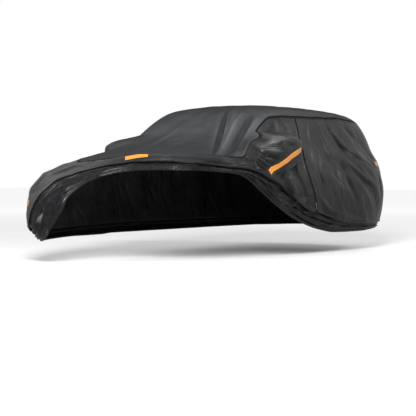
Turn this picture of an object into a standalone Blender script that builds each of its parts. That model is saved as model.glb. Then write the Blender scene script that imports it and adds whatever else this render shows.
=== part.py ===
"""Fitted cover for a compact five-door hatchback, hollow and open below, its front edge turned back.

Metres, X towards the nose, Y to the left, Z up. The form is worked out over the ground, with x = 0
over the front wheels, and is then lowered, so that the origin lies under the roof zone, where the
cover is held.

Every place on the cloth has two coordinates: "around", the distance along the widest outline from
the nose, left positive and right negative, and "height" above the ground.
"""

import math

import bpy
import numpy as np
from mathutils.bvhtree import BVHTree

CLOTH = 0.002            # thickness of a cloth solid
GAP = 0.0003             # between two pieces sewn edge to edge
ROOF_REST = (-2.0, 0.0, 1.4685)   # where the roof zone is held, over the ground

# Horizontal outlines of the taut form, from the sill to the roof's ridge line.
# height, nose x, tail x, half width, squareness of the front corners, and of the rear corners
LEVELS = np.array((
    (0.100,  0.72, -3.430, 0.885, 4.2, 4.0),
    (0.200,  0.80, -3.480, 0.905, 4.2, 4.0),
    (0.350,  0.87, -3.550, 0.925, 4.2, 4.0),
    (0.500,  0.88, -3.600, 0.935, 4.2, 4.0),
    (0.620,  0.84, -3.610, 0.935, 4.2, 4.0),
    (0.710,  0.75, -3.600, 0.930, 4.3, 4.0),
    (0.780,  0.60, -3.590, 0.920, 4.6, 4.0),
    (0.840,  0.42, -3.575, 0.905, 5.0, 4.0),
    (0.890,  0.24, -3.560, 0.890, 5.4, 4.0),
    (0.935,  0.04, -3.545, 0.870, 5.6, 4.0),
    (0.985, -0.20, -3.525, 0.850, 5.2, 3.9),
    (1.050, -0.47, -3.500, 0.820, 4.8, 3.8),
    (1.140, -0.70, -3.460, 0.790, 4.7, 3.8),
    (1.230, -0.85, -3.415, 0.762, 4.6, 3.7),
    (1.310, -0.98, -3.350, 0.730, 4.5, 3.6),
    (1.375, -1.10, -3.250, 0.685, 4.3, 3.5),
    (1.420, -1.23, -3.090, 0.615, 4.0, 3.4),
    (1.450, -1.37, -2.830, 0.480, 3.4, 3.0),
    (1.466, -1.50, -2.500, 0.260, 2.6, 2.4),
    (1.472, -1.62, -2.260, 0.004, 2.0, 2.0),
))
WIDEST = 4               # the row above whose outline measures "around"
MIDDLE = -2.0            # x where each outline's front and rear halves meet
RIDGE_SHARE = 0.12       # a column's foot on the ridge line, as a share of its x from MIDDLE

# Lines that run round the cover, as heights over the ground at distances around it.
# around, hem, fold edge, low waist line, high waist line, roof seam, size of the folded lip
LINES = np.array((
    (-5.70, 0.22, 0.300, 0.80, 1.10, 1.310, 0.6),
    (-4.90, 0.21, 0.290, 0.80, 1.10, 1.330, 0.6),
    (-3.90, 0.21, 0.290, 0.82, 1.12, 1.350, 0.6),
    (-2.90, 0.21, 0.290, 0.98, 1.16, 1.335, 0.6),
    (-2.75, 0.21, 0.290, 0.98, 1.15, 1.330, 0.6),
    (-2.35, 0.21, 0.290, 0.87, 1.13, 1.315, 0.6),
    (-2.12, 0.21, 0.285, 0.80, 1.06, 1.250, 0.6),
    (-1.89, 0.20, 0.280, 0.72, 0.93, 1.090, 0.6),
    (-1.72, 0.20, 0.280, 0.68, 0.84, 0.960, 0.6),
    (-1.50, 0.20, 0.270, 0.65, 0.81, 0.930, 0.6),
    (-1.10, 0.19, 0.260, 0.65, 0.81, 0.930, 0.7),
    (-0.75, 0.18, 0.250, 0.64, 0.79, 0.900, 0.8),
    (-0.62, 0.18, 0.290, 0.64, 0.78, 0.890, 1.0),
    (-0.50, 0.19, 0.480, 0.70, 0.80, 0.900, 1.0),
    (-0.40, 0.23, 0.640, 0.76, 0.84, 0.915, 1.0),
    (-0.30, 0.31, 0.780, 0.84, 0.88, 0.925, 1.0),
    (-0.16, 0.46, 0.835, 0.87, 0.905, 0.935, 1.0),
    (-0.08, 0.64, 0.855, 0.885, 0.915, 0.940, 1.0),
    ( 0.02, 0.80, 0.865, 0.89, 0.92, 0.943, 1.0),
    ( 0.30, 0.85, 0.885, 0.91, 0.92, 0.940, 1.0),
    ( 0.63, 0.86, 0.888, 0.91, 0.92, 0.932, 1.0),
    ( 1.15, 0.84, 0.866, 0.89, 0.90, 0.925, 1.0),
    ( 1.57, 0.81, 0.840, 0.87, 0.89, 0.922, 1.0),
    ( 1.75, 0.79, 0.834, 0.87, 0.90, 0.928, 1.0),
    ( 1.82, 0.77, 0.828, 0.88, 0.94, 0.995, 1.0),
    ( 1.88, 0.74, 0.823, 0.87, 0.97, 1.060, 1.0),
    ( 1.94, 0.71, 0.810, 0.87, 0.99, 1.130, 1.0),
    ( 2.02, 0.66, 0.790, 0.86, 1.02, 1.180, 1.0),
    ( 2.12, 0.60, 0.755, 0.84, 1.06, 1.235, 1.0),
    ( 2.35, 0.46, 0.675, 0.87, 1.13, 1.320, 1.0),
    ( 2.60, 0.35, 0.500, 0.95, 1.15, 1.330, 1.0),
    ( 2.75, 0.30, 0.435, 0.98, 1.15, 1.330, 1.0),
    ( 3.00, 0.25, 0.400, 0.94, 1.16, 1.335, 0.9),
    ( 3.40, 0.21, 0.330, 0.84, 1.13, 1.340, 0.8),
    ( 3.90, 0.20, 0.290, 0.80, 1.10, 1.350, 0.7),
    ( 4.60, 0.21, 0.280, 0.80, 1.10, 1.335, 0.6),
    ( 5.70, 0.22, 0.300, 0.80, 1.10, 1.310, 0.6),
))

# The lip, where the outer cloth rounds its fold edge and goes under: along is up the cloth from
# the fold edge, out is outwards from the taut form. Listed from the hem side to the outer side.
LIP = np.array((
    # along, out
    (-0.040, -0.022),
    ( 0.004, -0.024),
    ( 0.014, -0.016),
    ( 0.004, -0.007),
    (-0.003,  0.002),
    ( 0.010,  0.009),
    ( 0.032,  0.003),
))
BAND_OUT = -0.022        # the turned-under layer lies this far inside the taut form
BAND_PLEATS = 2          # pleats across that layer, along the hem
PLEAT = 0.008
HEM_TUCK = 0.020         # the elastic hem draws in by this much

# Columns of cells, on each side alike: from, to, steps
POCKET_FRONT, POCKET_REAR = 2.12, 2.75
ZIP_AROUND, ZIP_WIDTH = 2.86, 0.022
COLUMNS = (
    (0.0, POCKET_FRONT, 18),
    (POCKET_FRONT, POCKET_REAR, 7),
    (POCKET_REAR, ZIP_AROUND - ZIP_WIDTH/2, 1),
    (ZIP_AROUND - ZIP_WIDTH/2, ZIP_AROUND + ZIP_WIDTH/2, 1),
)
REAR_STEPS = 17          # from the zip's line to the tail seam
FRONT_SEAMS = -1.12, 1.88   # where the front panel meets the two beside it
# Rows of cells: the turned-under band, three stretches of the skirt, and the top
BAND_ROWS, LOW_ROWS, WAIST_ROWS, HIGH_ROWS, TOP_ROWS = 5, 5, 5, 3, 7
LEAST_SHARE = 0.25       # of the skirt's height, for each of its three stretches

# The lower end of the zip leans to the rear
SWAY, SWAY_WIDTH, SWAY_TOP, SWAY_DROP = 0.16, 0.60, 0.90, 0.45

# The mirror pockets bulge out of the skirt
# side, x, z, how far out from the middle, and size to the front, to the rear, up and down
POCKETS = (
    ( 1, -0.99, 1.030, 1.000, 0.25, 0.48, 0.150, 0.270),
    (-1, -0.87, 1.030, 0.960, 0.30, 0.42, 0.135, 0.260),
)

# Main folds, soft and straight, each from one place on the cloth to another; a negative rise is
# a trough.
# around, height, to around, to height, half width, rise
FOLDS = (
    (1.05, 1.440, 1.28, 0.940, 0.060, -0.020),   # windscreen zone
    (1.40, 1.430, 1.36, 0.950, 0.050,  0.014),
    (1.95, 1.385, 1.45, 0.950, 0.060, -0.022),
    (2.20, 1.300, 1.66, 0.970, 0.050,  0.016),
    (0.55, 1.440, 0.75, 1.000, 0.070, -0.010),
    (-0.60, 1.440, -0.90, 0.980, 0.090, -0.010),
    (2.45, 1.320, 2.20, 1.120, 0.050, -0.014),   # left flank, ahead of the zip
    (2.60, 0.950, 2.70, 0.520, 0.050, -0.016),
    (2.40, 0.840, 2.55, 0.600, 0.050,  0.016),
    (3.30, 1.320, 3.50, 0.700, 0.060, -0.012),   # left flank, behind the zip
    (3.65, 1.330, 4.15, 0.740, 0.060, -0.018),
    (3.90, 1.330, 4.45, 0.620, 0.070,  0.016),
    (3.30, 0.980, 4.40, 0.500, 0.060, -0.018),
    (3.25, 0.760, 4.10, 0.380, 0.060,  0.014),
    (4.40, 1.200, 4.90, 0.560, 0.080, -0.014),
    (5.20, 1.240, 5.05, 0.420, 0.090,  0.012),   # tail
    (-5.30, 1.240, -5.15, 0.420, 0.090, -0.014),
    (-4.60, 1.260, -4.75, 0.400, 0.080,  0.012),  # right flank
    (-3.95, 1.300, -4.30, 0.420, 0.090, -0.016),
    (-3.20, 1.300, -3.35, 0.400, 0.090,  0.014),
    (-2.60, 0.900, -2.75, 0.380, 0.090, -0.016),
    (-1.90, 0.900, -1.80, 0.350, 0.090,  0.014),
    (-1.20, 0.840, -1.15, 0.320, 0.080, -0.014),
    (-0.80, 0.860, -0.62, 0.420, 0.070,  0.018),  # the corner that hangs at the nose's right
    (-0.35, 0.560, -0.55, 0.280, 0.060,  0.020),
    (-0.15, 0.760, -0.45, 0.500, 0.050, -0.018),
    (-0.35, 0.885, 0.45, 0.936, 0.045, 0.032),   # roll along the foot of the windscreen zone
    (0.35, 0.932, 1.60, 0.915, 0.045, 0.026),
)

# Reflective strips, each a smooth curve through places on the cloth: around, height, and so on
STRIP_WIDTH, STRIP = 0.052, 0.0012
STRIPS = {
    "strip_left_pocket": (2.174, 0.796, 2.256, 0.851, 2.310, 0.902,
                          2.410, 0.958, 2.560, 1.012),
    "strip_right_pocket": (-1.880, 1.020, -2.150, 1.010, -2.560, 1.020),
    "strip_front_left": (0.035, 0.900, 0.150, 0.911, 0.290, 0.922),
    "strip_front_right": (-0.880, 0.550, -0.720, 0.540, -0.570, 0.530),
    "strip_rear_left": (4.520, 0.900, 4.640, 0.900, 4.760, 0.900),
    "strip_rear_right": (-4.520, 0.900, -4.640, 0.900, -4.760, 0.900),
}
STRIP_CELL, STRIP_LINES, STRIP_FINE = 0.014, 4, 4
STRIP_LIFT = 0.0009      # off the cloth's facets

SLIDER_LENGTH, SLIDER_WIDTH, SLIDER_HEIGHT = 0.030, 0.014, 0.008
PULL_LENGTH, PULL_WIDTH = 0.034, 0.009
SLIDER_SEAT = 0.0008      # off the middle of the zip's lowest cell

CHARCOAL = (0.055, 0.057, 0.058)
ROOF_GREY = (0.075, 0.077, 0.079)
BLACK = (0.012, 0.012, 0.013)
ORANGE = (0.900, 0.260, 0.025)


# ---- The taut form -------------------------------------------------------------------------------

def along_table(table, place):
    """Rows of a table at whole and broken row numbers, on a smooth curve through the rows."""
    place = np.clip(np.asarray(place, float), 0, len(table) - 1 - 1e-9)
    row = np.floor(place).astype(int)
    part = (place - row)[..., None]
    padded = np.vstack([2*table[0] - table[1], table, 2*table[-1] - table[-2]])
    a, b, c, d = (padded[row + k] for k in range(4))
    return 0.5*(2*b + (c - a)*part + (2*a - 5*b + 4*c - d)*part**2 + (3*b - a - 3*c + d)*part**3)


def line_values(around):
    """The LINES columns at a distance around, smooth and without overshoot."""
    knots, values = LINES[:, 0], LINES[:, 1:]
    step = np.diff(knots)[:, None]
    slope = np.diff(values, axis=0)/step
    same_way = slope[:-1]*slope[1:] > 0
    mean = 2*slope[:-1]*slope[1:]/np.where(same_way, slope[:-1] + slope[1:], 1)
    tangent = np.vstack([slope[:1], np.where(same_way, mean, 0), slope[-1:]])
    around = np.asarray(around, float)
    row = np.clip(np.searchsorted(knots, around) - 1, 0, len(knots) - 2)
    span = step[row]
    t = (around - knots[row])[..., None]/span
    return ((2*t**3 - 3*t**2 + 1)*values[row] + (t**3 - 2*t**2 + t)*span*tangent[row]
            + (3*t**2 - 2*t**3)*values[row + 1] + (t**3 - t**2)*span*tangent[row + 1])


def widest_outline():
    """Distances around half of the widest outline, from nose to tail, with its x and y."""
    nose, tail, half, front, rear = LEVELS[WIDEST, 1:]
    turn = np.linspace(0, math.pi, 4001)
    cos, sin = np.cos(turn), np.sin(turn)
    reach = np.where(cos > 0, nose - MIDDLE, MIDDLE - tail)
    power = 2/np.where(cos > 0, front, rear)
    x = MIDDLE + reach*np.sign(cos)*np.abs(cos)**power
    y = half*np.abs(sin)**power
    around = np.concatenate([[0], np.cumsum(np.hypot(np.diff(x), np.diff(y)))])
    return around, x, y


OUTLINE = widest_outline()
HALF_GIRTH = OUTLINE[0][-1]


def place_on_form(around, level):
    """Points of the taut form at distances around and at row numbers of LEVELS."""
    around, level = np.broadcast_arrays(around, level)
    height, nose, tail, half, front, rear = np.moveaxis(along_table(LEVELS, level), -1, 0)
    low = np.clip((SWAY_TOP - height)/SWAY_DROP, 0, 1)
    lean = np.exp(-((around - ZIP_AROUND)/SWAY_WIDTH)**2)*low**2*(3 - 2*low)
    around = around + SWAY*lean
    x = np.interp(np.abs(around), OUTLINE[0], OUTLINE[1])
    y = np.interp(np.abs(around), OUTLINE[0], OUTLINE[2])*np.sign(around)
    foot = MIDDLE + RIDGE_SHARE*(x - MIDDLE)
    length = np.hypot(x - foot, y)
    way_x, way_y = (x - foot)/length, y/length
    inner, outer = np.zeros_like(half), np.full_like(half, 4.0)
    for _ in range(36):                      # halve the span until it closes on the outline
        mid = (inner + outer)/2
        dx = foot + mid*way_x - MIDDLE
        reach = np.where(dx > 0, nose - MIDDLE, MIDDLE - tail)
        power = np.where(dx > 0, front, rear)
        inside = (np.abs(dx)/reach)**power + (np.abs(mid*way_y)/half)**power < 1
        inner, outer = np.where(inside, mid, inner), np.where(inside, outer, mid)
    return np.stack([foot + mid*way_x, mid*way_y, height], -1)


def form_normals(around, level, place=place_on_form):
    """Outward unit normals of the taut form, or of another form placed in the same way."""
    step = 0.02
    side = place(around + step, level) - place(around - step, level)
    top = len(LEVELS) - 1
    up = place(around, np.minimum(level + step, top)) - place(around, np.maximum(level - step, 0))
    normal = np.cross(side, up)
    return normal/np.linalg.norm(normal, axis=-1, keepdims=True)


FINE_LEVELS = np.linspace(0, len(LEVELS) - 1, 500)
FINE_HEIGHTS = along_table(LEVELS, FINE_LEVELS)[:, 0]


def level_at(height):
    return np.interp(height, FINE_HEIGHTS, FINE_LEVELS)


# ---- Folds and bulges ----------------------------------------------------------------------------

def fold_rise(points):
    """How far the main folds lift the cloth off the taut form."""
    rise = np.zeros(points.shape[:-1])
    for around, height, to_around, to_height, half_width, lift in FOLDS:
        share = np.linspace(0, 1, 13)
        path = place_on_form(around + share*(to_around - around),
                             level_at(height) + share*(level_at(to_height) - level_at(height)))
        best, at = np.full(rise.shape, np.inf), np.zeros(rise.shape)
        for k, (start, end) in enumerate(zip(path[:-1], path[1:])):
            run = end - start
            t = np.clip(((points - start) @ run)/(run @ run), 0, 1)
            distance = np.linalg.norm(points - start - t[..., None]*run, axis=-1)
            nearer = distance < best
            best, at = np.where(nearer, distance, best), np.where(nearer, (k + t)/12, at)
        rise += lift*np.exp(-(best/half_width)**2)*np.sin(math.pi*(0.12 + 0.76*at))
    return rise


def pocket_bulge(points):
    """Sideways push of the two mirror pockets."""
    push = np.zeros(points.shape[:-1])
    for side, x, z, reach, front, rear, up, down in POCKETS:
        dx = points[..., 0] - x
        dz = points[..., 2] - z + 0.10*np.minimum(dx, 0)
        near = 1 - np.clip((dx/np.where(dx > 0, front, rear))**2
                           + (dz/np.where(dz > 0, up, down))**2, 0, 1)**1.3
        out = points[..., 1]*side
        push += np.where(out > 0, side*np.maximum(reach - out, 0)*near**2*(3 - 2*near), 0)
    return push


def place_on_bulges(around, level):
    """The taut form with the mirror pockets' bulges."""
    points = place_on_form(around, level)
    points[..., 1] += pocket_bulge(points)
    return points


# ---- The grid of the cloth -----------------------------------------------------------------------

def half_columns():
    columns = [0.0]
    for start, end, steps in COLUMNS + ((ZIP_AROUND + ZIP_WIDTH/2, HALF_GIRTH, REAR_STEPS),):
        columns += [start + (end - start)*(k + 1)/steps for k in range(steps)]
    return columns


HALF = half_columns()
COUNT = 2*(len(HALF) - 1)                    # columns all round; 0 is the tail, COUNT/2 the nose
NOSE = COUNT//2


def column_of(around):
    """The column's number at a stated distance around."""
    return NOSE + int(math.copysign(np.argmin(np.abs(np.array(HALF) - abs(around))), around))


def cloth_grid():
    """Outer points of the whole cloth, columns by rows, and the first row of each stretch."""
    around = np.array([-a for a in HALF[:0:-1]] + HALF[:-1])
    lines = line_values(around)
    spread = np.linspace(0, len(LEVELS) - 1, 240)
    profile = place_on_form(around[:, None], spread[None, :])
    run = np.linalg.norm(np.diff(profile, axis=1), axis=-1)
    run = np.concatenate([np.zeros((COUNT, 1)), np.cumsum(run, axis=1)], axis=1)

    columns = []
    for k in range(COUNT):
        hem, fold, low, high, seam = (np.interp(level_at(h), spread, run[k]) for h in lines[k, :5])
        lip = lines[k, 5]
        top = run[k, -1]
        share = np.arange(BAND_ROWS)/BAND_ROWS
        band = hem + share*(fold + LIP[0, 0]*lip - hem)
        band_out = (BAND_OUT*lip + PLEAT*lip*np.cos(math.tau*BAND_PLEATS*share)
                    - HEM_TUCK*np.clip(1 - 3*share, 0, 1)**2)
        edge = fold + LIP[:, 0]*lip
        edge_out = LIP[:, 1]*lip
        start = edge[-1]
        free = seam - start
        low = np.clip(low, start + LEAST_SHARE*free, seam - 2*LEAST_SHARE*free)
        high = np.clip(high, low + LEAST_SHARE*free, seam - LEAST_SHARE*free)
        rest = [start + (low - start)*np.arange(1, LOW_ROWS + 1)/LOW_ROWS,
                low + (high - low)*np.arange(1, WAIST_ROWS + 1)/WAIST_ROWS,
                high + (seam - high)*np.arange(1, HIGH_ROWS + 1)/HIGH_ROWS,
                seam + (top - seam)*np.arange(1, TOP_ROWS + 1)/TOP_ROWS]
        along = np.concatenate([band, edge, *rest])
        out = np.concatenate([band_out, edge_out, np.zeros(len(along) - len(band) - len(edge))])
        columns.append((np.interp(along, run[k], spread), out))
    level = np.array([c[0] for c in columns])
    out = np.array([c[1] for c in columns])

    points = place_on_form(around[:, None], level)
    normals = form_normals(around[:, None], np.minimum(level, len(LEVELS) - 1.05))
    lift = out + fold_rise(points)
    lift[:, -1] = 0
    bulge = pocket_bulge(points)
    points = points + lift[..., None]*normals
    points[..., 1] += bulge
    points[:, -1, 1] = 0
    return points


BAND_TOP = BAND_ROWS                         # row numbers where each stretch starts
LIP_TOP = BAND_TOP + len(LIP) - 1
LOW_TOP = LIP_TOP + LOW_ROWS
WAIST_TOP = LOW_TOP + WAIST_ROWS
SEAM = WAIST_TOP + HIGH_ROWS
RIDGE = SEAM + TOP_ROWS


def owner(column, row):
    """The piece that a cell of the grid belongs to."""
    if row >= SEAM:
        return "top_panel"
    for side, name in ((1, "left"), (-1, "right")):
        first = column_of(side*(POCKET_FRONT if side > 0 else POCKET_REAR))
        last = column_of(side*(POCKET_REAR if side > 0 else POCKET_FRONT))
        if first <= column < last and LOW_TOP <= row < WAIST_TOP:
            return f"{name}_mirror_pocket"
    if column < column_of(-ZIP_AROUND + ZIP_WIDTH/2):
        return "right_rear_panel"
    if column < column_of(FRONT_SEAMS[0]):
        return "right_front_panel"
    zip_column = column_of(ZIP_AROUND - ZIP_WIDTH/2)
    if column == zip_column and row >= BAND_TOP + 3:
        return "zip"
    if column >= zip_column:
        return "left_rear_panel"
    return "front_panel" if column < column_of(FRONT_SEAMS[1]) else "left_front_panel"


def vertex_number(column, row):
    """Left and right columns share their points on the ridge line."""
    column %= COUNT
    if row == RIDGE:
        column = min(column, COUNT - column)
    return column*(RIDGE + 1) + row


def halves(points, quad):
    """A quad's two triangles, split along its shorter diagonal."""
    a, b, c, d = quad
    if np.linalg.norm(points[a] - points[c]) <= np.linalg.norm(points[b] - points[d]):
        return [[a, b, c], [a, c, d]]
    return [[a, b, d], [b, c, d]]


def all_cells(points):
    """Each piece's triangles on the grid."""
    cells = {}
    for column in range(COUNT):
        for row in range(RIDGE):
            quad = [vertex_number(column + a, row + b) for a, b in ((0, 0), (1, 0), (1, 1), (0, 1))]
            cells.setdefault(owner(column, row), []).extend(halves(points, quad))
    return cells


def shared_normals(points, cells):
    """One unit normal for each point of the grid, the same for all the pieces that meet there."""
    normals = np.zeros_like(points)
    for faces in cells.values():
        corners = points[np.array(faces)]
        face_normals = np.cross(corners[:, 1] - corners[:, 0], corners[:, 2] - corners[:, 0])
        for k in range(3):
            np.add.at(normals, np.array(faces)[:, k], face_normals)
    length = np.linalg.norm(normals, axis=1, keepdims=True)
    return normals/np.where(length > 0, length, 1)


# ---- Solids --------------------------------------------------------------------------------------

def border_edges(faces):
    """Directed edges that only one face has."""
    edges = [(f[k], f[(k + 1) % len(f)]) for f in faces for k in range(len(f))]
    seen = set(edges)
    return [(a, b) for a, b in edges if (b, a) not in seen]


def draw_back_borders(points, faces):
    """Pull a piece's border in by half the gap, so that sewn neighbours don't touch."""
    by_edge = {(f[k], f[(k + 1) % len(f)]): f for f in faces for k in range(len(f))}
    inward = {}
    for a, b in border_edges(faces):
        run = points[b] - points[a]
        to_middle = points[by_edge[a, b]].mean(axis=0) - points[a]
        way = to_middle - run*(to_middle @ run)/(run @ run)
        for corner in (a, b):
            inward[corner] = inward.get(corner, 0) + way/np.linalg.norm(way)
    moved = points.copy()
    for corner, way in inward.items():
        moved[corner] += GAP*1.4*way/(way @ way)
    return moved


def thick_sheet(points, normals, faces, thickness):
    """Outer and inner faces a thickness apart, joined round the borders."""
    used = sorted({corner for face in faces for corner in face})
    number = {corner: k for k, corner in enumerate(used)}
    outer = [[number[c] for c in face] for face in faces]
    count = len(used)
    inner = [[c + count for c in reversed(face)] for face in outer]
    rim = [[b, a, a + count, b + count] for a, b in border_edges(outer)]
    solid = np.vstack([points[used], points[used] - thickness*normals[used]])
    return solid, outer + inner + rim


def material(name, colour, roughness):
    made = bpy.data.materials.new(name)
    made.use_nodes = True
    shader = made.node_tree.nodes["Principled BSDF"]
    shader.inputs["Base Color"].default_value = (*colour, 1)
    shader.inputs["Roughness"].default_value = roughness
    shader.inputs["Metallic"].default_value = 0
    return made


def add_piece(name, points, faces, finish, rest):
    mesh = bpy.data.meshes.new(name)
    mesh.from_pydata([tuple(p) for p in points], [], faces)
    mesh.validate()
    mesh.materials.append(finish)
    mesh.shade_smooth()
    mesh.set_sharp_from_angle(angle=math.radians(40))
    piece = bpy.data.objects.new(name, mesh)
    bpy.context.collection.objects.link(piece)
    piece.parent = rest
    return piece


# ---- Sub-parts -----------------------------------------------------------------------------------

def add_cloth(points, normals, cells, rest):
    """The panels, mirror pockets and zip, which share the grid's points."""
    finishes = {
        "top_panel": material("cloth_top", ROOF_GREY, 0.55),
        "front_panel": material("cloth_front", CHARCOAL, 0.5),
        "left_rear_panel": material("cloth_left_rear", CHARCOAL, 0.5),
        "right_rear_panel": material("cloth_right_rear", CHARCOAL, 0.5),
        "left_front_panel": material("cloth_left_front", CHARCOAL, 0.5),
        "right_front_panel": material("cloth_right_front", CHARCOAL, 0.5),
        "left_mirror_pocket": material("cloth_left_pocket", CHARCOAL, 0.5),
        "right_mirror_pocket": material("cloth_right_pocket", CHARCOAL, 0.5),
        "zip": material("zip_black", BLACK, 0.6),
    }
    for name, faces in cells.items():
        solid, solid_faces = thick_sheet(draw_back_borders(points, faces), normals, faces, CLOTH)
        add_piece(name, solid, solid_faces, finishes[name], rest)


def cloth_heights(skin, points, outward):
    """How far the cloth's facets lie off the given points, along their own directions."""
    return np.array([np.array(skin.ray_cast(tuple(p + 0.08*w), tuple(-w))[0]) @ w - p @ w
                     for p, w in zip(points.reshape(-1, 3), outward.reshape(-1, 3))]
                    ).reshape(points.shape[:-1])


def curve_at(share, values):
    """A value along a smooth curve through the given ones, which lie at even shares."""
    return along_table(np.array(values)[:, None], share*(len(values) - 1))[..., 0]


def add_strip(name, places, skin, finish, rest):
    """A reflective strip, sewn flat on the cloth and clear of its facets."""
    fine = STRIP_FINE
    steps = math.ceil(abs(places[-2] - places[0])/STRIP_CELL)
    share = np.linspace(0, 1, fine*steps + 1)
    arounds = curve_at(share, places[0::2])
    levels = curve_at(share, level_at(places[1::2]))
    middle = place_on_bulges(arounds, levels)
    normals = form_normals(arounds, levels, place_on_bulges)
    across = np.cross(normals, np.gradient(middle, axis=0))
    across *= STRIP_WIDTH/2/np.linalg.norm(across, axis=1, keepdims=True)
    width = np.linspace(-1, 1, fine*STRIP_LINES + 1)
    under = middle + width[:, None, None]*across
    outward = np.broadcast_to(normals, under.shape)
    lie = cloth_heights(skin, under, outward)
    padded = np.pad(lie, fine, mode="edge")
    crest = np.max([padded[a:a + lie.shape[0], b:b + lie.shape[1]]
                    for a in range(2*fine + 1) for b in range(2*fine + 1)], axis=0)
    seat = (under + (crest + STRIP_LIFT)[..., None]*outward)[::fine, ::fine]
    outward = outward[::fine, ::fine].reshape(-1, 3)
    n = steps + 1
    top = seat.reshape(-1, 3) + STRIP*outward
    faces = [half for r in range(STRIP_LINES) for k in range(steps) for half in
             halves(top, [r*n + k, r*n + k + 1, (r + 1)*n + k + 1, (r + 1)*n + k])]
    solid, solid_faces = thick_sheet(top, outward, faces, STRIP)
    add_piece(name, solid, solid_faces, finish, rest)


def add_slider(points, normals, rest):
    """The zip's slider with its pull, closed at the zip's lower end."""
    column, row = column_of(ZIP_AROUND - ZIP_WIDTH/2), LIP_TOP
    corners = [vertex_number(column + a, row + b) for a, b in ((0, 0), (1, 0), (1, 1), (0, 1))]
    centre = points[corners].mean(axis=0)
    out = normals[corners].mean(axis=0)
    out /= np.linalg.norm(out)
    up = points[corners[2]] + points[corners[3]] - points[corners[0]] - points[corners[1]]
    up -= out*(up @ out)
    up /= np.linalg.norm(up)
    side = np.cross(up, out)
    seat = centre + out*SLIDER_SEAT
    # half length, half width, height over the tape, from the slider's foot to its pull's end
    rings = (
        (0.5*SLIDER_LENGTH, 0.7*SLIDER_WIDTH/2, 0.2*SLIDER_HEIGHT),
        (0.3*SLIDER_LENGTH, SLIDER_WIDTH/2, SLIDER_HEIGHT),
        (-0.2*SLIDER_LENGTH, PULL_WIDTH/2, SLIDER_HEIGHT),
        (-0.5*SLIDER_LENGTH, PULL_WIDTH/2, 0.8*SLIDER_HEIGHT),
        (-0.5*SLIDER_LENGTH - PULL_LENGTH, PULL_WIDTH/2, 0.8*SLIDER_HEIGHT),
    )
    floor = (0, 0, 0, 0.45*SLIDER_HEIGHT, 0.45*SLIDER_HEIGHT)
    solid = []
    for (along, half, high), low in zip(rings, floor):
        for sign, level in ((-1, low), (1, low), (1, high), (-1, high)):
            solid.append(seat + up*along + side*half*sign + out*level)
    faces = [[3, 2, 1, 0], [4*len(rings) - 4 + k for k in range(4)]]
    for k in range(len(rings) - 1):
        for a in range(4):
            b = (a + 1) % 4
            faces.append([4*k + a, 4*k + b, 4*k + 4 + b, 4*k + 4 + a])
    add_piece("zip_slider", solid, faces, material("slider_metal", (0.03, 0.03, 0.03), 0.35), rest)


def main():
    for old in list(bpy.data.objects):
        bpy.data.objects.remove(old)
    rest = bpy.data.objects.new("roof_rest", None)
    bpy.context.collection.objects.link(rest)
    rest.location = [-value for value in ROOF_REST]

    grid = cloth_grid()
    points = grid.reshape(-1, 3)
    cells = all_cells(points)
    normals = shared_normals(points, cells)
    add_cloth(points, normals, cells, rest)

    every_face = [face for faces in cells.values() for face in faces]
    skin = BVHTree.FromPolygons([tuple(p) for p in points], every_face)
    orange = material("reflective_orange", ORANGE, 0.4)
    for name, places in STRIPS.items():
        add_strip(name, places, skin, orange, rest)
    add_slider(points, normals, rest)


main()
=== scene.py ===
"""Fitted car cover: the cloth sheets, seams, zip and reflective strips, with stage and camera.

The form is worked out over the ground in metres, with x = 0 over the front wheels, and is then
lowered into the model's frame. "Around" is the distance along the widest outline from the nose,
left positive; "height" is over the ground.
"""
import math

import bpy
import numpy as np
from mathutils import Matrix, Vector
from mathutils.bvhtree import BVHTree


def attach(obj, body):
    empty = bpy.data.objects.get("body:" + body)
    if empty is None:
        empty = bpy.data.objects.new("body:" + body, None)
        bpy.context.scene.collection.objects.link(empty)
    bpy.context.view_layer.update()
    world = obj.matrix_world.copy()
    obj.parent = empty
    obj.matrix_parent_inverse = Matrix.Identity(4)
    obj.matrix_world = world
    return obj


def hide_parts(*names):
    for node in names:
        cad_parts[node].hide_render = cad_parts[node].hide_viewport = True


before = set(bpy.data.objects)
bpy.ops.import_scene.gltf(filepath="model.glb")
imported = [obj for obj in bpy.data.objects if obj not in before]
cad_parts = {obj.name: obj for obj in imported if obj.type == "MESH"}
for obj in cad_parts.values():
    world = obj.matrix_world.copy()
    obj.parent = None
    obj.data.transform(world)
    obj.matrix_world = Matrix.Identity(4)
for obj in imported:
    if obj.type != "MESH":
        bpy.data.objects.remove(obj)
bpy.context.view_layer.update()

ROOF_REST = np.array((-2.0, 0.0, 1.4685))

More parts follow.
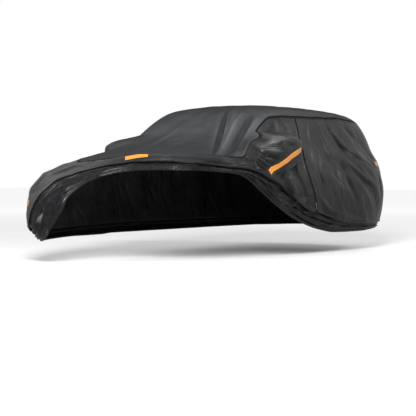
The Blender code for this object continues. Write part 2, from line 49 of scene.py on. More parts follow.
# ---- The taut form, as in the solids ------------------------------------------------------------
# height, nose x, tail x, half width, squareness of the front corners, and of the rear corners
LEVELS = np.array((
    (0.100,  0.72, -3.430, 0.885, 4.2, 4.0),
    (0.200,  0.80, -3.480, 0.905, 4.2, 4.0),
    (0.350,  0.87, -3.550, 0.925, 4.2, 4.0),
    (0.500,  0.88, -3.600, 0.935, 4.2, 4.0),
    (0.620,  0.84, -3.610, 0.935, 4.2, 4.0),
    (0.710,  0.75, -3.600, 0.930, 4.3, 4.0),
    (0.780,  0.60, -3.590, 0.920, 4.6, 4.0),
    (0.840,  0.42, -3.575, 0.905, 5.0, 4.0),
    (0.890,  0.24, -3.560, 0.890, 5.4, 4.0),
    (0.935,  0.04, -3.545, 0.870, 5.6, 4.0),
    (0.985, -0.20, -3.525, 0.850, 5.2, 3.9),
    (1.050, -0.47, -3.500, 0.820, 4.8, 3.8),
    (1.140, -0.70, -3.460, 0.790, 4.7, 3.8),
    (1.230, -0.85, -3.415, 0.762, 4.6, 3.7),
    (1.310, -0.98, -3.350, 0.730, 4.5, 3.6),
    (1.375, -1.10, -3.250, 0.685, 4.3, 3.5),
    (1.420, -1.23, -3.090, 0.615, 4.0, 3.4),
    (1.450, -1.37, -2.830, 0.480, 3.4, 3.0),
    (1.466, -1.50, -2.500, 0.260, 2.6, 2.4),
    (1.472, -1.62, -2.260, 0.004, 2.0, 2.0),
))
WIDEST = 4
MIDDLE = -2.0
RIDGE_SHARE = 0.12

# around, hem, fold edge, low waist line, high waist line, roof seam, size of the folded lip
LINES = np.array((
    (-5.70, 0.22, 0.300, 0.80, 1.10, 1.310, 0.6),
    (-4.90, 0.21, 0.290, 0.80, 1.10, 1.330, 0.6),
    (-3.90, 0.21, 0.290, 0.82, 1.12, 1.350, 0.6),
    (-2.90, 0.21, 0.290, 0.98, 1.16, 1.335, 0.6),
    (-2.75, 0.21, 0.290, 0.98, 1.15, 1.330, 0.6),
    (-2.35, 0.21, 0.290, 0.87, 1.13, 1.315, 0.6),
    (-2.12, 0.21, 0.285, 0.80, 1.06, 1.250, 0.6),
    (-1.89, 0.20, 0.280, 0.72, 0.93, 1.090, 0.6),
    (-1.72, 0.20, 0.280, 0.68, 0.84, 0.960, 0.6),
    (-1.50, 0.20, 0.270, 0.65, 0.81, 0.930, 0.6),
    (-1.10, 0.19, 0.260, 0.65, 0.81, 0.930, 0.7),
    (-0.75, 0.18, 0.250, 0.64, 0.79, 0.900, 0.8),
    (-0.62, 0.18, 0.290, 0.64, 0.78, 0.890, 1.0),
    (-0.50, 0.19, 0.480, 0.70, 0.80, 0.900, 1.0),
    (-0.40, 0.23, 0.640, 0.76, 0.84, 0.915, 1.0),
    (-0.30, 0.31, 0.780, 0.84, 0.88, 0.925, 1.0),
    (-0.16, 0.46, 0.835, 0.87, 0.905, 0.935, 1.0),
    (-0.08, 0.64, 0.855, 0.885, 0.915, 0.940, 1.0),
    ( 0.02, 0.80, 0.865, 0.89, 0.92, 0.943, 1.0),
    ( 0.30, 0.85, 0.885, 0.91, 0.92, 0.940, 1.0),
    ( 0.63, 0.86, 0.888, 0.91, 0.92, 0.932, 1.0),
    ( 1.15, 0.84, 0.866, 0.89, 0.90, 0.925, 1.0),
    ( 1.57, 0.81, 0.840, 0.87, 0.89, 0.922, 1.0),
    ( 1.75, 0.79, 0.834, 0.87, 0.90, 0.928, 1.0),
    ( 1.82, 0.77, 0.828, 0.88, 0.94, 0.995, 1.0),
    ( 1.88, 0.74, 0.823, 0.87, 0.97, 1.060, 1.0),
    ( 1.94, 0.71, 0.810, 0.87, 0.99, 1.130, 1.0),
    ( 2.02, 0.66, 0.790, 0.86, 1.02, 1.180, 1.0),
    ( 2.12, 0.60, 0.755, 0.84, 1.06, 1.235, 1.0),
    ( 2.35, 0.46, 0.675, 0.87, 1.13, 1.320, 1.0),
    ( 2.60, 0.35, 0.500, 0.95, 1.15, 1.330, 1.0),
    ( 2.75, 0.30, 0.435, 0.98, 1.15, 1.330, 1.0),
    ( 3.00, 0.25, 0.400, 0.94, 1.16, 1.335, 0.9),
    ( 3.40, 0.21, 0.330, 0.84, 1.13, 1.340, 0.8),
    ( 3.90, 0.20, 0.290, 0.80, 1.10, 1.350, 0.7),
    ( 4.60, 0.21, 0.280, 0.80, 1.10, 1.335, 0.6),
    ( 5.70, 0.22, 0.300, 0.80, 1.10, 1.310, 0.6),
))
LEAST_SHARE = 0.25

# The lip at the fold edge: along is up the cloth from the edge, out is off the taut form
LIP = np.array((
    # along, out
    (-0.040, -0.022),
    ( 0.004, -0.024),
    ( 0.014, -0.016),
    ( 0.004, -0.007),
    (-0.003,  0.002),
    ( 0.010,  0.009),
    ( 0.032,  0.003),
))
# The hem's roll round its elastic: along from the hem, out of the band's own line
HEM_ROLL = np.array((
    # along, out
    ( 0.020, -0.010),
    ( 0.009, -0.012),
    (-0.001, -0.012),
    (-0.006, -0.008),
    (-0.006, -0.002),
))
BAND_OUT, BAND_PLEATS, PLEAT, HEM_TUCK = -0.022, 2, 0.008, 0.020

POCKET_FRONT, POCKET_REAR = 2.12, 2.75
ZIP_AROUND, ZIP_WIDTH = 2.86, 0.022
FRONT_SEAMS = -2.12*10/18, 2.12*16/18
SWAY, SWAY_WIDTH, SWAY_TOP, SWAY_DROP = 0.16, 0.60, 0.90, 0.45
# side, x, z, how far out from the middle, and size to the front, to the rear, up and down
POCKETS = (
    ( 1, -0.99, 1.030, 1.000, 0.25, 0.48, 0.150, 0.270),
    (-1, -0.87, 1.030, 0.960, 0.30, 0.42, 0.135, 0.260),
)

# The solids' main folds: around, height, to around, to height, half width, rise
FOLDS = (
    (1.05, 1.440, 1.28, 0.940, 0.060, -0.020),
    (1.40, 1.430, 1.36, 0.950, 0.050,  0.014),
    (1.95, 1.385, 1.45, 0.950, 0.060, -0.022),
    (2.20, 1.300, 1.66, 0.970, 0.050,  0.016),
    (0.55, 1.440, 0.75, 1.000, 0.070, -0.010),
    (-0.60, 1.440, -0.90, 0.980, 0.090, -0.010),
    (2.45, 1.320, 2.20, 1.120, 0.050, -0.014),
    (2.60, 0.950, 2.70, 0.520, 0.050, -0.016),
    (2.40, 0.840, 2.55, 0.600, 0.050,  0.016),
    (3.30, 1.320, 3.50, 0.700, 0.060, -0.012),
    (3.65, 1.330, 4.15, 0.740, 0.060, -0.018),
    (3.90, 1.330, 4.45, 0.620, 0.070,  0.016),
    (3.30, 0.980, 4.40, 0.500, 0.060, -0.018),
    (3.25, 0.760, 4.10, 0.380, 0.060,  0.014),
    (4.40, 1.200, 4.90, 0.560, 0.080, -0.014),
    (5.20, 1.240, 5.05, 0.420, 0.090,  0.012),
    (-5.30, 1.240, -5.15, 0.420, 0.090, -0.014),
    (-4.60, 1.260, -4.75, 0.400, 0.080,  0.012),
    (-3.95, 1.300, -4.30, 0.420, 0.090, -0.016),
    (-3.20, 1.300, -3.35, 0.400, 0.090,  0.014),
    (-2.60, 0.900, -2.75, 0.380, 0.090, -0.016),
    (-1.90, 0.900, -1.80, 0.350, 0.090,  0.014),
    (-1.20, 0.840, -1.15, 0.320, 0.080, -0.014),
    (-0.80, 0.860, -0.62, 0.420, 0.070,  0.018),
    (-0.35, 0.560, -0.55, 0.280, 0.060,  0.020),
    (-0.15, 0.760, -0.45, 0.500, 0.050, -0.018),
    (-0.35, 0.885, 0.45, 0.936, 0.045, 0.032),
    (0.35, 0.932, 1.60, 0.915, 0.045, 0.026),
)

# Creases listed one by one, each a curve through three places on the cloth.
# around, height, mid around, mid height, end around, end height, half width, rise, kind
SOFT, SHARP = 0, 1                 # rounded; crested
CREASES = (
    # windscreen zone
    (0.93, 1.418, 1.084, 1.175, 1.278, 0.938, 0.030, -0.026, SOFT),
    (0.72, 1.432, 0.936, 1.215, 1.201, 0.957, 0.018,  0.012, SHARP),
    (1.054, 1.43, 1.190, 1.234, 1.330, 0.960, 0.018,  0.012, SHARP),
    (1.996, 1.363, 1.696, 1.173, 1.431, 0.939, 0.034, -0.028, SOFT),
    (1.708, 1.375, 1.419, 1.161, 1.343, 0.929, 0.016,  0.012, SHARP),
    (2.108, 1.331, 1.873, 1.201, 1.608, 1.036, 0.022,  0.012, SHARP),
    (1.908, 1.142, 1.784, 1.064, 1.672, 0.941, 0.032, -0.018, SOFT),
    (0.15, 1.387, 0.253, 1.312, 0.465, 1.198, 0.035, -0.005, SOFT),
    (-0.377, 1.296, -0.500, 1.148, -0.318, 0.985, 0.030, 0.006, SOFT),
    (1.46, 1.375, 1.243, 1.193, 1.236, 1.035, 0.012,  0.004, SHARP),
    (1.572, 1.291, 1.407, 1.132, 1.343, 0.996, 0.012,  0.005, SHARP),
    # under the windscreen
    (0.23, 0.942, 1.084, 0.923, 1.708, 0.919, 0.012, -0.006, SHARP),
    (1.048, 0.901, 1.331, 0.854, 1.584, 0.842, 0.014,  0.006, SHARP),
    (1.184, 0.915, 1.496, 0.903, 1.655, 0.860, 0.013,  0.008, SHARP),
    (1.125, 0.901, 1.354, 0.880, 1.525, 0.868, 0.016, -0.012, SOFT),
    (1.802, 0.906, 1.902, 0.913, 2.002, 0.924, 0.012, -0.010, SHARP),
    # side windows ahead of the zip
    (2.413, 1.315, 2.440, 1.237, 2.404, 1.149, 0.022,  0.010, SOFT),
    (2.570, 1.318, 2.619, 1.202, 2.560, 1.090, 0.030, -0.008, SOFT),
    (2.014, 1.162, 2.043, 1.123, 2.085, 1.095, 0.018, -0.008, SHARP),
    (1.890, 1.103, 1.949, 1.084, 2.008, 1.085, 0.016, -0.008, SHARP),
    # left mirror pocket
    (2.045, 1.032, 2.020, 1.100, 2.250, 1.128, 0.020,  0.022, SHARP),
    (2.060, 1.050, 2.075, 1.090, 2.230, 1.105, 0.018,  0.018, SOFT),
    (2.045, 1.006, 2.105, 0.993, 2.200, 0.980, 0.016,  0.018, SHARP),
    (2.014, 1.037, 2.043, 1.040, 2.090, 1.044, 0.010, -0.020, SHARP),
    (2.055, 0.986, 2.147, 0.948, 2.237, 0.910, 0.016, -0.024, SHARP),
    (2.020, 0.973, 2.114, 0.932, 2.192, 0.901, 0.012,  0.016, SHARP),
    (2.020, 0.959, 2.114, 0.912, 2.200, 0.880, 0.012, -0.022, SHARP),
    (2.020, 0.944, 2.114, 0.891, 2.210, 0.856, 0.012,  0.013, SHARP),
    (2.000, 0.930, 2.085, 0.877, 2.180, 0.841, 0.012, -0.020, SHARP),
    (1.985, 0.917, 2.060, 0.864, 2.156, 0.828, 0.012,  0.011, SHARP),
    (1.985, 0.900, 2.055, 0.845, 2.145, 0.808, 0.014, -0.018, SHARP),
    (2.180, 1.070, 2.300, 1.050, 2.420, 1.060, 0.030, -0.008, SOFT),
    (2.340, 0.815, 2.556, 0.868, 2.824, 0.922, 0.014,  0.013, SHARP),
    (2.714, 0.900, 2.700, 0.840, 2.710, 0.740, 0.024,  0.012, SHARP),
    # flap ahead of the zip
    (2.507, 0.812, 2.502, 0.728, 2.534, 0.635, 0.018,  0.012, SHARP),
    (2.390, 0.820, 2.385, 0.765, 2.368, 0.701, 0.020, -0.012, SOFT),
    (2.385, 0.820, 2.545, 0.756, 2.516, 0.600, 0.016,  0.012, SHARP),
    (2.300, 0.655, 2.426, 0.627, 2.507, 0.560, 0.030, -0.034, SOFT),
    (2.444, 0.510, 2.485, 0.499, 2.530, 0.494, 0.007, -0.012, SHARP),
    (2.489, 0.469, 2.579, 0.458, 2.665, 0.453, 0.007, -0.014, SHARP),
    (2.560, 0.432, 2.700, 0.420, 2.834, 0.440, 0.010,  0.012, SHARP),
    (2.680, 0.900, 2.700, 0.747, 2.720, 0.537, 0.030, -0.006, SOFT),
    (2.530, 0.513, 2.647, 0.539, 2.814, 0.517, 0.018,  0.009, SOFT),
    # behind the zip
    (3.390, 1.314, 3.464, 1.135, 3.546, 0.937, 0.022, -0.010, SHARP),
    (3.629, 1.342, 3.785, 1.123, 3.967, 1.034, 0.022, -0.012, SHARP),
    (3.785, 1.123, 3.991, 0.993, 4.337, 0.852, 0.022, -0.014, SHARP),
    (3.868, 1.349, 4.164, 1.203, 4.527, 1.044, 0.030, -0.008, SOFT),
    (3.761, 1.193, 3.909, 1.064, 4.057, 0.943, 0.020,  0.009, SHARP),
    (3.695, 0.938, 4.041, 0.799, 4.428, 0.641, 0.022,  0.014, SHARP),
    (3.752, 0.878, 4.032, 0.654, 4.337, 0.379, 0.024,  0.013, SHARP),
    (3.728, 0.919, 4.049, 0.757, 4.436, 0.590, 0.022, -0.013, SHARP),
    (3.678, 0.868, 3.760, 0.636, 4.032, 0.459, 0.050, -0.016, SOFT),
    (3.621, 0.928, 3.514, 0.757, 3.538, 0.577, 0.018,  0.009, SHARP),
    (3.126, 0.863, 3.110, 0.766, 3.110, 0.660, 0.018, -0.007, SOFT),
    (2.978, 0.573, 3.110, 0.474, 3.373, 0.410, 0.026,  0.014, SHARP),
    (2.960, 0.480, 3.080, 0.420, 3.300, 0.380, 0.034, -0.018, SOFT),
    (3.349, 0.411, 3.818, 0.341, 4.428, 0.260, 0.024,  0.012, SHARP),
    (3.143, 1.236, 3.069, 1.018, 3.044, 0.824, 0.024,  0.006, SOFT),
    (3.151, 1.336, 3.085, 1.175, 3.085, 1.019, 0.020, -0.005, SOFT),
    (4.032, 0.902, 4.189, 0.778, 4.444, 0.705, 0.016,  0.006, SHARP),
    (4.296, 1.019, 4.510, 0.981, 4.584, 0.918, 0.030, -0.010, SOFT),
    # bonnet zone and the right front corner
    (-0.483, 0.900, -0.306, 0.915, -0.212, 0.940, 0.016, -0.012, SHARP),
    (-0.271, 0.875, -0.047, 0.885, 0.053, 0.898, 0.013,  0.007, SHARP),
    (-0.420, 0.987, -0.241, 0.945, -0.060, 0.905, 0.016, -0.008, SHARP),
    (-0.524, 0.747, -0.524, 0.826, -0.400, 0.880, 0.020,  0.009, SHARP),
    (-0.459, 0.764, -0.389, 0.826, -0.118, 0.875, 0.018, -0.009, SHARP),
    (-0.665, 0.782, -0.560, 0.764, -0.470, 0.721, 0.020,  0.014, SHARP),
    (-0.620, 0.617, -0.560, 0.635, -0.480, 0.695, 0.024, -0.020, SOFT),
    (-0.600, 0.590, -0.560, 0.566, -0.520, 0.515, 0.014,  0.010, SHARP),
    (-0.700, 0.487, -0.680, 0.365, -0.660, 0.260, 0.030, -0.014, SOFT),
    (-0.600, 0.506, -0.590, 0.404, -0.600, 0.278, 0.022,  0.014, SHARP),
)


def along_table(table, place):
    place = np.clip(np.asarray(place, float), 0, len(table) - 1 - 1e-9)
    row = np.floor(place).astype(int)
    part = (place - row)[..., None]
    padded = np.vstack([2*table[0] - table[1], table, 2*table[-1] - table[-2]])
    a, b, c, d = (padded[row + k] for k in range(4))
    return 0.5*(2*b + (c - a)*part + (2*a - 5*b + 4*c - d)*part**2 + (3*b - a - 3*c + d)*part**3)


def line_values(around):
    knots, values = LINES[:, 0], LINES[:, 1:]
    step = np.diff(knots)[:, None]
    slope = np.diff(values, axis=0)/step
    same_way = slope[:-1]*slope[1:] > 0
    mean = 2*slope[:-1]*slope[1:]/np.where(same_way, slope[:-1] + slope[1:], 1)
    tangent = np.vstack([slope[:1], np.where(same_way, mean, 0), slope[-1:]])
    around = np.asarray(around, float)
    row = np.clip(np.searchsorted(knots, around) - 1, 0, len(knots) - 2)
    span = step[row]
    t = (around - knots[row])[..., None]/span
    return ((2*t**3 - 3*t**2 + 1)*values[row] + (t**3 - 2*t**2 + t)*span*tangent[row]
            + (3*t**2 - 2*t**3)*values[row + 1] + (t**3 - t**2)*span*tangent[row + 1])


def widest_outline():
    nose, tail, half, front, rear = LEVELS[WIDEST, 1:]
    turn = np.linspace(0, math.pi, 4001)
    cos, sin = np.cos(turn), np.sin(turn)
    reach = np.where(cos > 0, nose - MIDDLE, MIDDLE - tail)
    power = 2/np.where(cos > 0, front, rear)
    x = MIDDLE + reach*np.sign(cos)*np.abs(cos)**power
    y = half*np.abs(sin)**power
    around = np.concatenate([[0], np.cumsum(np.hypot(np.diff(x), np.diff(y)))])
    return around, x, y


OUTLINE = widest_outline()
HALF_GIRTH = OUTLINE[0][-1]


def place_on_form(around, level):
    around, level = np.broadcast_arrays(around, level)
    height, nose, tail, half, front, rear = np.moveaxis(along_table(LEVELS, level), -1, 0)
    low = np.clip((SWAY_TOP - height)/SWAY_DROP, 0, 1)
    lean = np.exp(-((around - ZIP_AROUND)/SWAY_WIDTH)**2)*low**2*(3 - 2*low)
    around = around + SWAY*lean
    x = np.interp(np.abs(around), OUTLINE[0], OUTLINE[1])
    y = np.interp(np.abs(around), OUTLINE[0], OUTLINE[2])*np.sign(around)
    foot = MIDDLE + RIDGE_SHARE*(x - MIDDLE)
    length = np.hypot(x - foot, y)
    way_x, way_y = (x - foot)/length, y/length
    inner, outer = np.zeros_like(half), np.full_like(half, 4.0)
    for _ in range(26):
        mid = (inner + outer)/2
        dx = foot + mid*way_x - MIDDLE
        reach = np.where(dx > 0, nose - MIDDLE, MIDDLE - tail)
        power = np.where(dx > 0, front, rear)
        inside = (np.abs(dx)/reach)**power + (np.abs(mid*way_y)/half)**power < 1
        inner, outer = np.where(inside, mid, inner), np.where(inside, outer, mid)
    return np.stack([foot + mid*way_x, mid*way_y, height], -1)


def form_normals(around, level, place=place_on_form):
    step = 0.02
    side = place(around + step, level) - place(around - step, level)
    top = len(LEVELS) - 1
    up = place(around, np.minimum(level + step, top)) - place(around, np.maximum(level - step, 0))
    normal = np.cross(side, up)
    return normal/np.linalg.norm(normal, axis=-1, keepdims=True)


FINE_LEVELS = np.linspace(0, len(LEVELS) - 1, 500)
FINE_HEIGHTS = along_table(LEVELS, FINE_LEVELS)[:, 0]


def level_at(height):
    return np.interp(height, FINE_HEIGHTS, FINE_LEVELS)


# ---- Folds and creases --------------------------------------------------------------------------

def lift_along(rise, points, path, half_width, lift, kind, ends=(0.12, 0.88)):
    """Add one fold's lift to the points near its path."""
    margin = 3.2*half_width
    low, high = path.min(axis=0) - margin, path.max(axis=0) + margin
    near = np.nonzero(np.all((points > low) & (points < high), axis=1))[0]
    if not len(near):
        return
    close = points[near]
    best, at = np.full(len(near), np.inf), np.zeros(len(near))
    steps = len(path) - 1
    for k, (start, end) in enumerate(zip(path[:-1], path[1:])):
        run = end - start
        t = np.clip(((close - start) @ run)/(run @ run), 0, 1)
        off = close - start - t[:, None]*run
        distance = np.linalg.norm(off, axis=1)
        nearer = distance < best
        best, at = np.where(nearer, distance, best), np.where(nearer, (k + t)/steps, at)
    if kind == SOFT:
        form = np.exp(-(best/half_width)**2)
    else:
        soft = 0.25*half_width
        form = np.exp(-(np.sqrt(best**2 + soft**2) - soft)/(0.72*half_width))
    rise[near] += lift*form*np.sin(math.pi*(ends[0] + (ends[1] - ends[0])*at))


def curve_at(share, values):
    """A value along a curve through three, the middle one half way along."""
    a, b, c = values
    return (1 - share)*(1 - 2*share)*a + 4*share*(1 - share)*b + share*(2*share - 1)*c


def curve_path(row, steps=14, place=place_on_form):
    share = np.linspace(0, 1, steps + 1)
    return place(curve_at(share, row[0:6:2]), curve_at(share, level_at(row[1:6:2])))


def smooth_at(share, values):
    """A value along a smooth curve through any number of values at even shares."""
    return along_table(np.array(values)[:, None], share*(len(values) - 1))[..., 0]


def pocket_bulge(points):
    push = np.zeros(points.shape[:-1])
    for side, x, z, reach, front, rear, up, down in POCKETS:
        dx = points[..., 0] - x
        dz = points[..., 2] - z + 0.10*np.minimum(dx, 0)
        near = 1 - np.clip((dx/np.where(dx > 0, front, rear))**2
                           + (dz/np.where(dz > 0, up, down))**2, 0, 1)**1.3
        out = points[..., 1]*side
        push += np.where(out > 0, side*np.maximum(reach - out, 0)*near**2*(3 - 2*near), 0)
    return push


def place_on_bulges(around, level):
    points = place_on_form(around, level)
    points[..., 1] += pocket_bulge(points)
    return points


def smooth_waves(points, wavelength, seed, count=26, stretch=(1, 1, 1)):
    """A smooth random field between about -1 and 1, of one main wavelength."""
    made = np.random.default_rng(seed)
    ways = made.normal(size=(count, 3))*np.array(stretch)
    ways /= np.linalg.norm(ways, axis=1, keepdims=True)
    ways *= math.tau/wavelength*made.uniform(0.7, 1.4, (count, 1))
    shift = made.uniform(0, math.tau, count)
    total = np.zeros(len(points))
    for way, start in zip(ways, shift):
        total += np.cos(points @ way + start)
    return total/math.sqrt(count/2)/1.6


# Small creases scattered in zones.
# from around, to around, from height, to height, run in degrees over level, spread, count,
# length, half width, rise
ZONES = (
    (1.95, 2.30, 0.80, 1.00,  -50, 25, 26, 0.11, 0.010,  0.0045),   # pocket's neck
    (2.25, 2.80, 0.46, 0.62,   10, 40, 26, 0.13, 0.014,  0.0050),   # flap's foot
    (2.30, 2.80, 0.62, 0.95,   95, 20, 16, 0.20, 0.018,  0.0035),
    (2.95, 3.50, 0.42, 1.00,   80, 22, 26, 0.22, 0.018,  0.0035),   # behind the zip
    (3.30, 4.50, 0.45, 0.95,  -38, 14, 34, 0.34, 0.016,  0.0040),
    (3.40, 4.40, 1.00, 1.33,  -48, 12, 22, 0.26, 0.018,  0.0030),
    (4.40, 5.58, 0.30, 1.25,   88, 20, 36, 0.34, 0.024,  0.0045),   # tail
    (-5.58, -4.40, 0.30, 1.25, 88, 20, 36, 0.34, 0.024,  0.0045),
    (-4.40, -2.90, 0.32, 1.28, 75, 30, 50, 0.32, 0.022,  0.0042),   # right side
    (-2.90, -2.10, 0.32, 0.95, 85, 25, 34, 0.24, 0.020,  0.0045),
    (-2.10, -0.90, 0.28, 0.88, 80, 30, 44, 0.22, 0.020,  0.0045),
    (-0.95, -0.50, 0.25, 0.86,  60, 45, 40, 0.15, 0.016,  0.0070),  # corner that hangs
    (-0.50,  0.00, 0.28, 0.84,  50, 14, 90, 0.15, 0.010,  0.0080),  # turned-under layer there
    ( 0.00,  2.10, 0.79, 0.86,   1,  6, 56, 0.18, 0.008,  0.0045),   # along the bonnet zone
    ( 2.00,  2.90, 0.30, 0.72, -38,  5, 14, 0.50, 0.010,  0.0040),
    (-0.45, 2.20, 0.87, 0.945,  4, 12, 60, 0.24, 0.009,  0.0030),   # bonnet zone's edge
    (-0.60, 0.40, 0.93, 1.10,  10, 15, 14, 0.26, 0.014,  0.0025),
    (1.90, 2.20, 1.00, 1.20,   40, 50, 16, 0.09, 0.012,  0.0035),
    (0.50, 2.20, 1.00, 1.42, -64, 8, 22, 0.34, 0.012,  0.0022),     # windscreen
)


def zone_paths():
    made = np.random.default_rng(7)
    for first, last, low, high, degrees, spread, count, length, half_width, rise in ZONES:
        for _ in range(count):
            around = made.uniform(first, last)
            height = made.uniform(low, high)
            turn = math.radians(degrees + made.normal()*spread/2)
            reach = length*made.uniform(0.5, 1.3)/2
            bend = made.normal()*0.10*reach
            da, dh = math.cos(turn)*reach, math.sin(turn)*reach
            row = (around - da, height - dh, around - bend*math.sin(turn),
                   height + bend*math.cos(turn), around + da, height + dh)
            row = [v if k % 2 == 0 else min(max(v, 0.12), 1.45) for k, v in enumerate(row)]
            yield (curve_path(row, 6), half_width*made.uniform(0.7, 1.4),
                   rise*made.uniform(0.5, 1.3)*made.choice((-1, 1)))


# ---- The grid of the cloth ----------------------------------------------------------------------
# Columns: from, to, cell size
COLUMNS = (
    (-HALF_GIRTH, -ZIP_AROUND + ZIP_WIDTH/2, 0.0115),
    (-ZIP_AROUND + ZIP_WIDTH/2, -POCKET_REAR, 0.010),
    (-POCKET_REAR, -POCKET_FRONT, 0.010),
    (-POCKET_FRONT, FRONT_SEAMS[0], 0.010),
    (FRONT_SEAMS[0], FRONT_SEAMS[1], 0.0085),
    (FRONT_SEAMS[1], POCKET_FRONT, 0.0085),
    (POCKET_FRONT, POCKET_REAR, 0.0075),
    (POCKET_REAR, ZIP_AROUND - ZIP_WIDTH/2, 0.009),
    (ZIP_AROUND - ZIP_WIDTH/2, ZIP_AROUND + ZIP_WIDTH/2, 0.0037),
    (ZIP_AROUND + ZIP_WIDTH/2, HALF_GIRTH, 0.0085),
)
BAND_ROWS, LIP_ROWS, LOW_ROWS, WAIST_ROWS, HIGH_ROWS, TOP_ROWS = 30, 18, 42, 30, 16, 68
BY_SEAM = np.array((0.005, 0.010, 0.016, 0.024))
BAND_START = len(HEM_ROLL)
LIP_START = BAND_START + BAND_ROWS
LIP_END = LIP_START + LIP_ROWS
LOW_END = LIP_END + LOW_ROWS
WAIST_END = LOW_END + WAIST_ROWS
SEAM = WAIST_END + HIGH_ROWS + len(BY_SEAM)
RIDGE = SEAM + len(BY_SEAM) + TOP_ROWS


def column_arounds():
    arounds, starts = [-HALF_GIRTH], [0]
    for first, last, size in COLUMNS:
        steps = max(1, round((last - first)/size))
        arounds += [first + (last - first)*(k + 1)/steps for k in range(steps)]
        starts.append(len(arounds) - 1)
    return np.array(arounds), starts


def cloth_grid():
    """Points of the whole cloth, columns by rows, with each point's place for the materials."""
    around, starts = column_arounds()
    lines = line_values(around)
    spread = np.linspace(0, len(LEVELS) - 1, 240)
    profile = place_on_form(around[:, None], spread[None, :])
    run = np.linalg.norm(np.diff(profile, axis=1), axis=-1)
    run = np.concatenate([np.zeros((len(around), 1)), np.cumsum(run, axis=1)], axis=1)
    lip_curve = along_table(LIP, np.linspace(0, len(LIP) - 1, LIP_ROWS + 1))

    levels, outs, alongs, tucks = [], [], [], []
    for k in range(len(around)):
        hem, fold, low, high, seam = (np.interp(level_at(h), spread, run[k]) for h in lines[k, :5])
        lip = lines[k, 5]
        share = np.arange(BAND_ROWS)/BAND_ROWS
        band = hem + share*(fold + LIP[0, 0]*lip - hem)
        band_out = (BAND_OUT*lip + PLEAT*lip*np.cos(math.tau*BAND_PLEATS*share)
                    - HEM_TUCK*np.clip(1 - 3*share, 0, 1)**2)
        roll, roll_out = hem + HEM_ROLL[:, 0], band_out[0] + HEM_ROLL[:, 1]
        edge, edge_out = fold + lip_curve[:, 0]*lip, lip_curve[:, 1]*lip
        start = edge[-1]
        free = seam - start
        low = np.clip(low, start + LEAST_SHARE*free, seam - 2*LEAST_SHARE*free)
        high = np.clip(high, low + LEAST_SHARE*free, seam - LEAST_SHARE*free)
        near = BY_SEAM*min(1, 0.3*free/BY_SEAM[-1])
        below = seam - near[-1]
        high = min(high, below - 0.003)
        rest = np.concatenate([
            start + (low - start)*np.arange(1, LOW_ROWS + 1)/LOW_ROWS,
            low + (high - low)*np.arange(1, WAIST_ROWS + 1)/WAIST_ROWS,
            high + (below - high)*np.arange(1, HIGH_ROWS + 1)/HIGH_ROWS,
            seam - near[-2::-1], [seam], seam + BY_SEAM,
            seam + BY_SEAM[-1] + (run[k, -1] - seam - BY_SEAM[-1])
            * np.arange(1, TOP_ROWS + 1)/TOP_ROWS])
        along = np.concatenate([roll, band, edge, rest])
        settle = edge_out[-1]*np.exp(-(rest - start)/(0.012*lip))
        outs.append(np.concatenate([roll_out, band_out, edge_out, settle]))
        levels.append(np.interp(along, run[k], spread))
        alongs.append(along)
        tucks.append((hem, fold, seam, lip))
    level, out, along = np.array(levels), np.array(outs), np.array(alongs)
    hem, fold, seam, lip = (np.array(tucks)[:, k][:, None] for k in range(4))

    flat = np.broadcast_to(around[:, None], level.shape)
    points = place_on_form(flat, level)
    normals = form_normals(flat, np.minimum(level, len(LEVELS) - 1.05))
    shape = level.shape
    p = points.reshape(-1, 3)

    rise, relief = np.zeros(len(p)), np.zeros(len(p))
    for around0, height0, around1, height1, half_width, lift in FOLDS:
        share = np.linspace(0, 1, 13)
        path = place_on_form(around0 + share*(around1 - around0),
                             level_at(height0) + share*(level_at(height1) - level_at(height0)))
        lift_along(rise, p, path, half_width, lift, SOFT)
    for row in CREASES:
        lift_along(relief, p, curve_path(row[:6]), *row[6:], (0.06, 0.94))
    for path, half_width, lift in zone_paths():
        lift_along(relief, p, path, half_width, lift, SHARP, (0.03, 0.97))
    # each point's amount for the materials: painted shade where it is negative, in the creases,
    # and painted highlight where it is positive, on the crests
    shade = relief/0.011 + rise/0.040
    rise += relief
    rise += 0.0030*smooth_waves(p, 0.42, 1) + 0.0012*smooth_waves(p, 0.16, 2)
    rise = rise.reshape(shape)

    # The turned-under band: long folds that run round it, and the hem's gathers
    row = np.arange(shape[1])[None, :]
    in_band = np.clip((LIP_START + 2 - row)/5, 0, 1)*np.clip((row - 1)/4, 0, 1)
    g = flat*1.0
    depth = along - hem

    def girth(wavelength, seed):
        return smooth_waves(np.stack([g, 0.6*depth, 0*g], -1).reshape(-1, 3), wavelength, seed,
                            stretch=(1, 0.4, 0)).reshape(shape)

    wide = np.maximum(fold - hem, 0.03)
    folds = np.maximum(1.5, np.minimum(wide/0.032, 7.0))
    turn = math.tau*(folds*depth/wide + 0.30*girth(1.4, 3) + 0.08*girth(0.35, 4))
    crest = 2*np.abs(np.cos(turn/2))**1.6 - 1
    deep = in_band*crest*(0.75 + 0.35*girth(0.45, 8))
    rise += (0.0040 + 0.0050*np.clip((lip - 0.6)/0.4, 0, 1))*deep
    # the band's long folds add to the painted crease shade and crest highlight
    shade = shade.reshape(shape) + 0.6*deep
    gather = np.sin(math.tau*g/0.052 + 2.2*smooth_waves(
        np.stack([g, 0*g, 0*g], -1).reshape(-1, 3), 0.4, 5, stretch=(1, 0, 0)).reshape(shape))
    rise += 0.0022*gather*np.exp(-np.abs(depth)/0.022)
    # puckers at the roof seam, its welt, and the groove between its two edges
    off = along - seam
    pucker = smooth_waves(np.stack([g, 0*g, 0*g], -1).reshape(-1, 3), 0.05, 6,
                          stretch=(1, 0, 0)).reshape(shape)
    rise += 0.0012*pucker*np.exp(-np.abs(off)/0.03)
    rise += 0.0030*np.exp(-((np.abs(off) - 0.011)/0.008)**2) - 0.0012*np.exp(-(off/0.004)**2)

